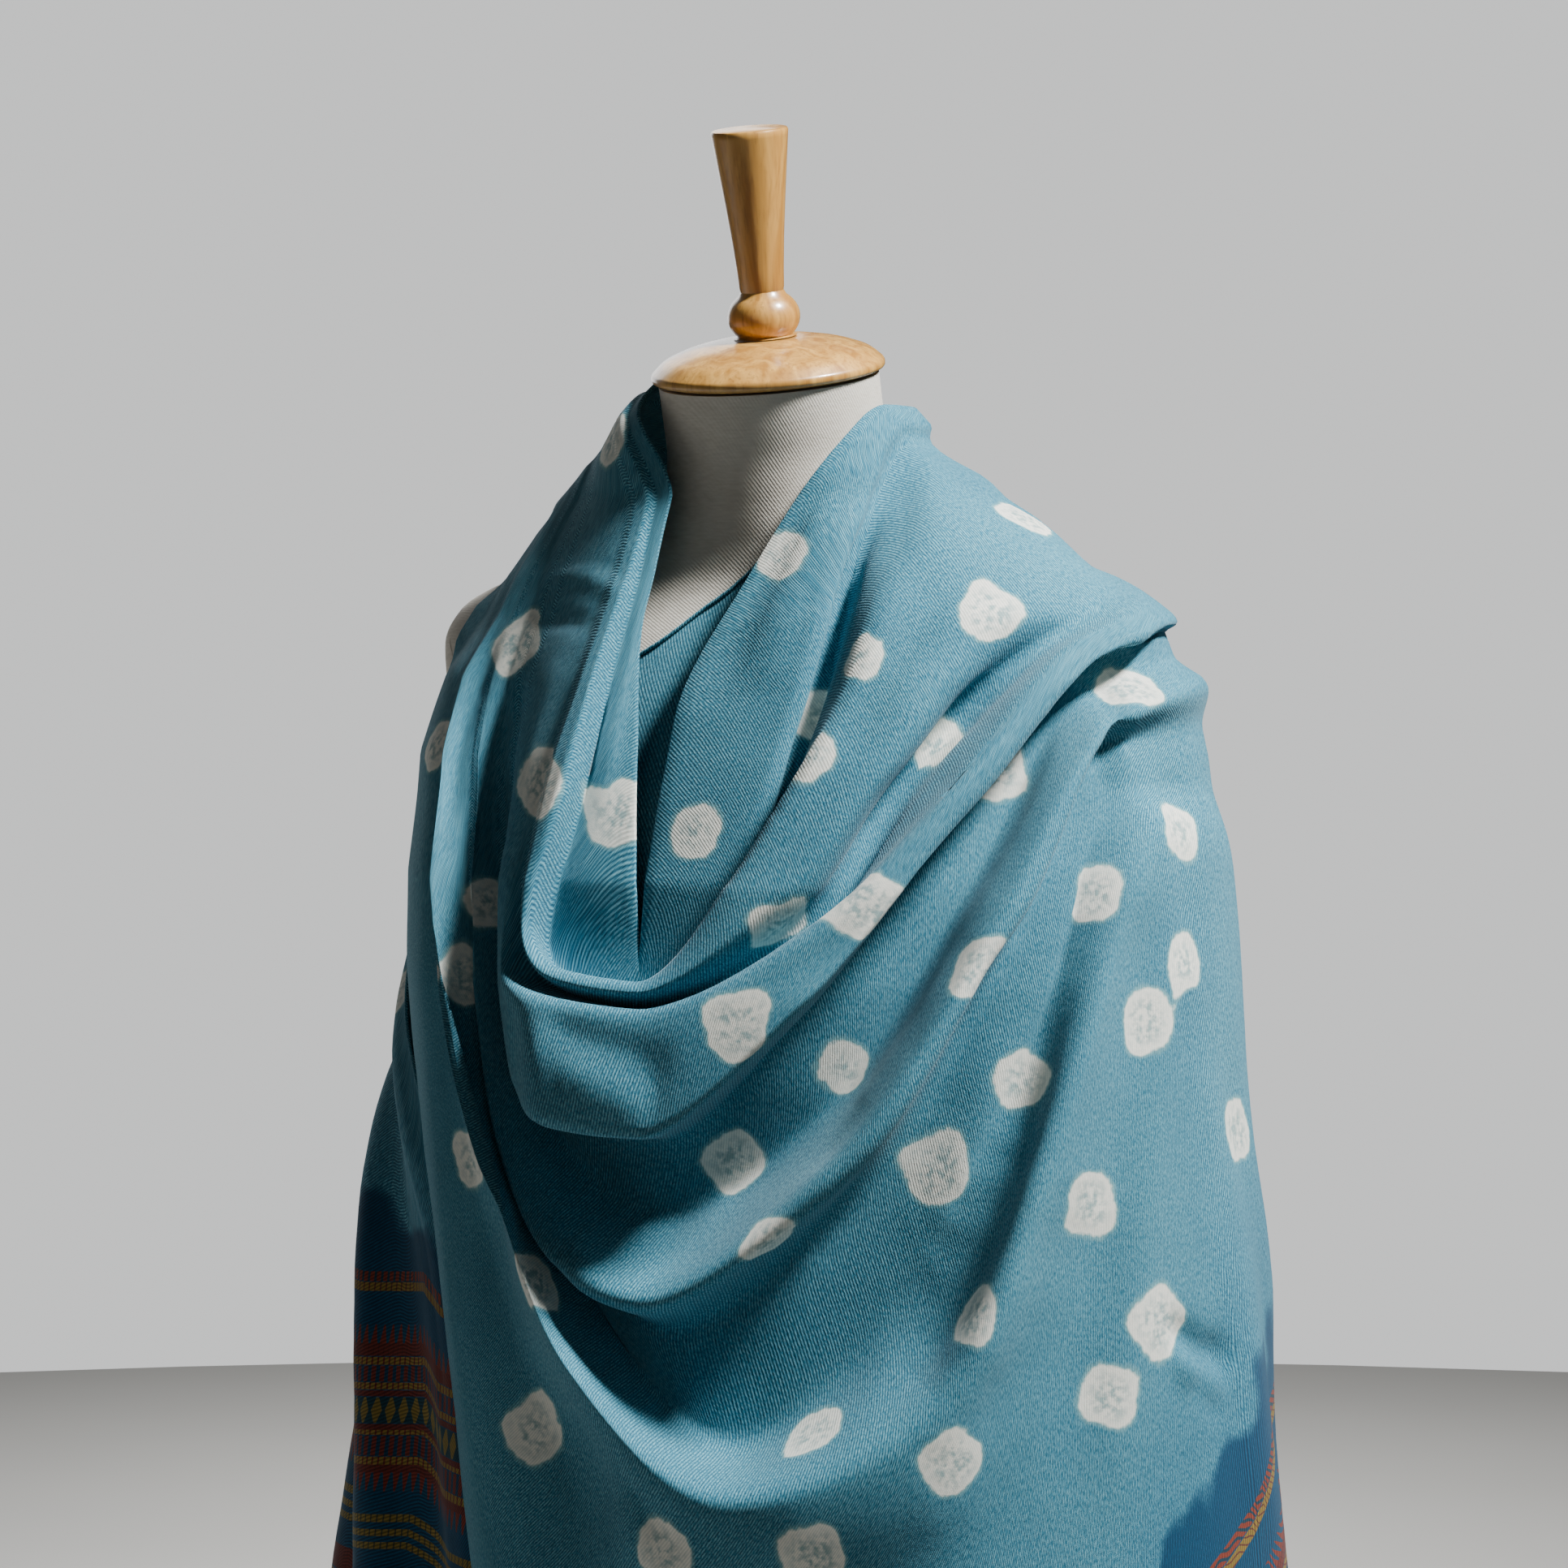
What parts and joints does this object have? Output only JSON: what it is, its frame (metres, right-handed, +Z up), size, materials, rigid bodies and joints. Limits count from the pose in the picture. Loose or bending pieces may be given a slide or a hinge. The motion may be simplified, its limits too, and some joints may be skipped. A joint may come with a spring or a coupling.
{
  "type": "tie-dye shawl on a limbless dress form",
  "caption": "Long dyed shawl draped over both shoulders of a dress form in a deep front cowl, with its ends hanging behind, on a pole and round base.",
  "frame": {"origin": "centre of the round base's underside, on the pole's axis", "axes": "+Z up along the pole; the form faces -Y, and its own left shoulder is at +X"},
  "size_m": [0.5449, 0.42, 1.577],
  "materials": {
    "shawl_cloth": "fine twill wool, tie-dyed in teal blue with pale spots and dark banded ends, soft sheen",
    "form_linen": "off-white plain linen stretched over the form",
    "form_wood": "turned beech with a clear gloss varnish",
    "stand_metal": "black powder coat, satin"
  },
  "bodies": {
    "root": {"shawl_right_end": "shawl_cloth", "shawl_right_shoulder": "shawl_cloth", "shawl_front_cowl": "shawl_cloth", "shawl_left_cape": "shawl_cloth", "shawl_left_end": "shawl_cloth", "shawl_inner_fold": "shawl_cloth", "form_torso": "form_linen", "form_neck_cap": "form_wood", "form_finial": "form_wood", "form_socket_plate": "stand_metal", "form_pole": "stand_metal", "form_base": "stand_metal"}
  },
  "joints": []
}
